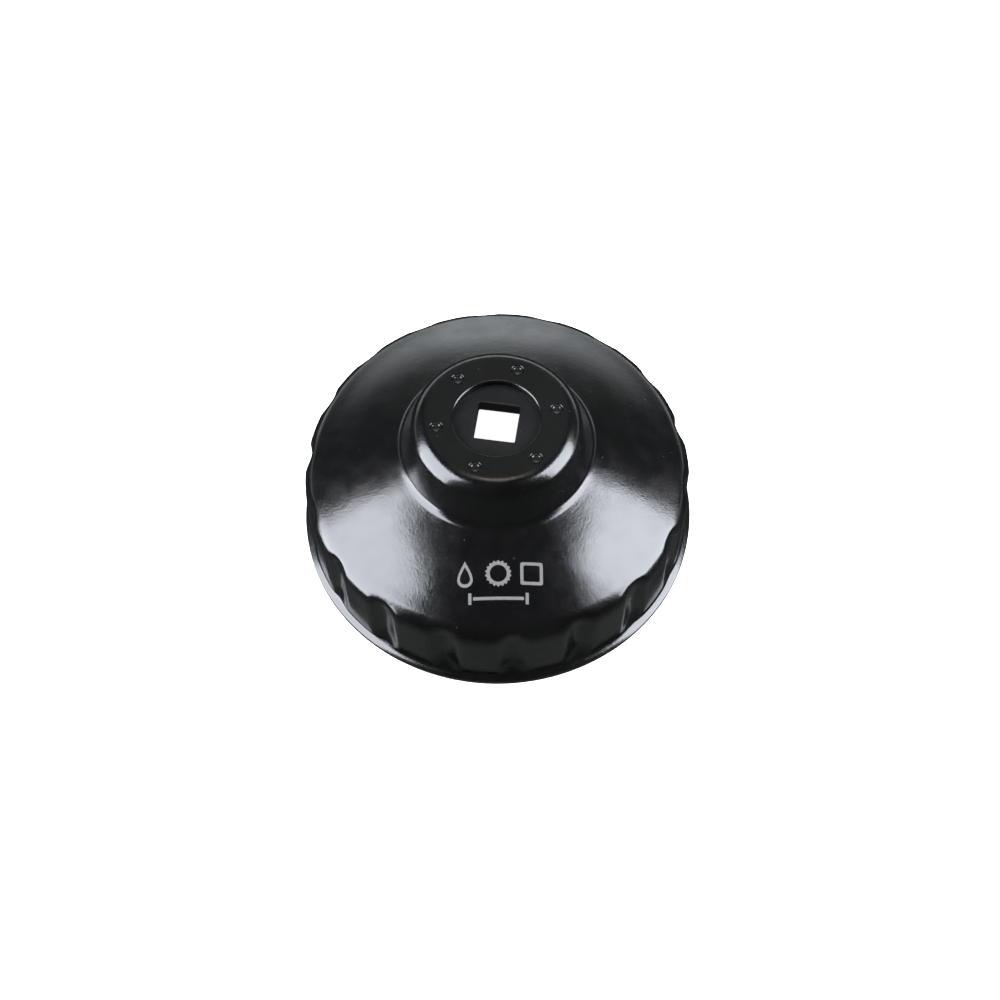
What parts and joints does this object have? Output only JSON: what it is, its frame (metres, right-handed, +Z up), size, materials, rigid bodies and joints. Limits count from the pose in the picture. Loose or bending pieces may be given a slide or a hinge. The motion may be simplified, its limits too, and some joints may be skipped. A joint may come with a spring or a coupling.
{
  "type": "oil filter wrench",
  "caption": "Cup-shaped pressed-steel oil filter wrench with a fluted gripping wall, a domed crown, and a raised hub with a square drive hole.",
  "frame": {"origin": "centre of the rim, on the plane that the rim stands on", "axes": "+Z up along the axis of the cup, from the open rim to the hub; the front of the wrench faces -Y"},
  "size_m": [0.1252, 0.1252, 0.0555],
  "materials": {
    "cup_enamel": "gloss black enamel with a fine orange peel and a light etched mark on the crown",
    "plate_enamel": "satin black enamel over a machined plate",
    "rivet_enamel": "satin black enamel"
  },
  "bodies": {
    "root": {"cup": "cup_enamel", "drive_plate": "plate_enamel", "rivet_1": "rivet_enamel", "rivet_2": "rivet_enamel", "rivet_3": "rivet_enamel", "rivet_4": "rivet_enamel", "rivet_5": "rivet_enamel", "rivet_6": "rivet_enamel"}
  },
  "joints": []
}
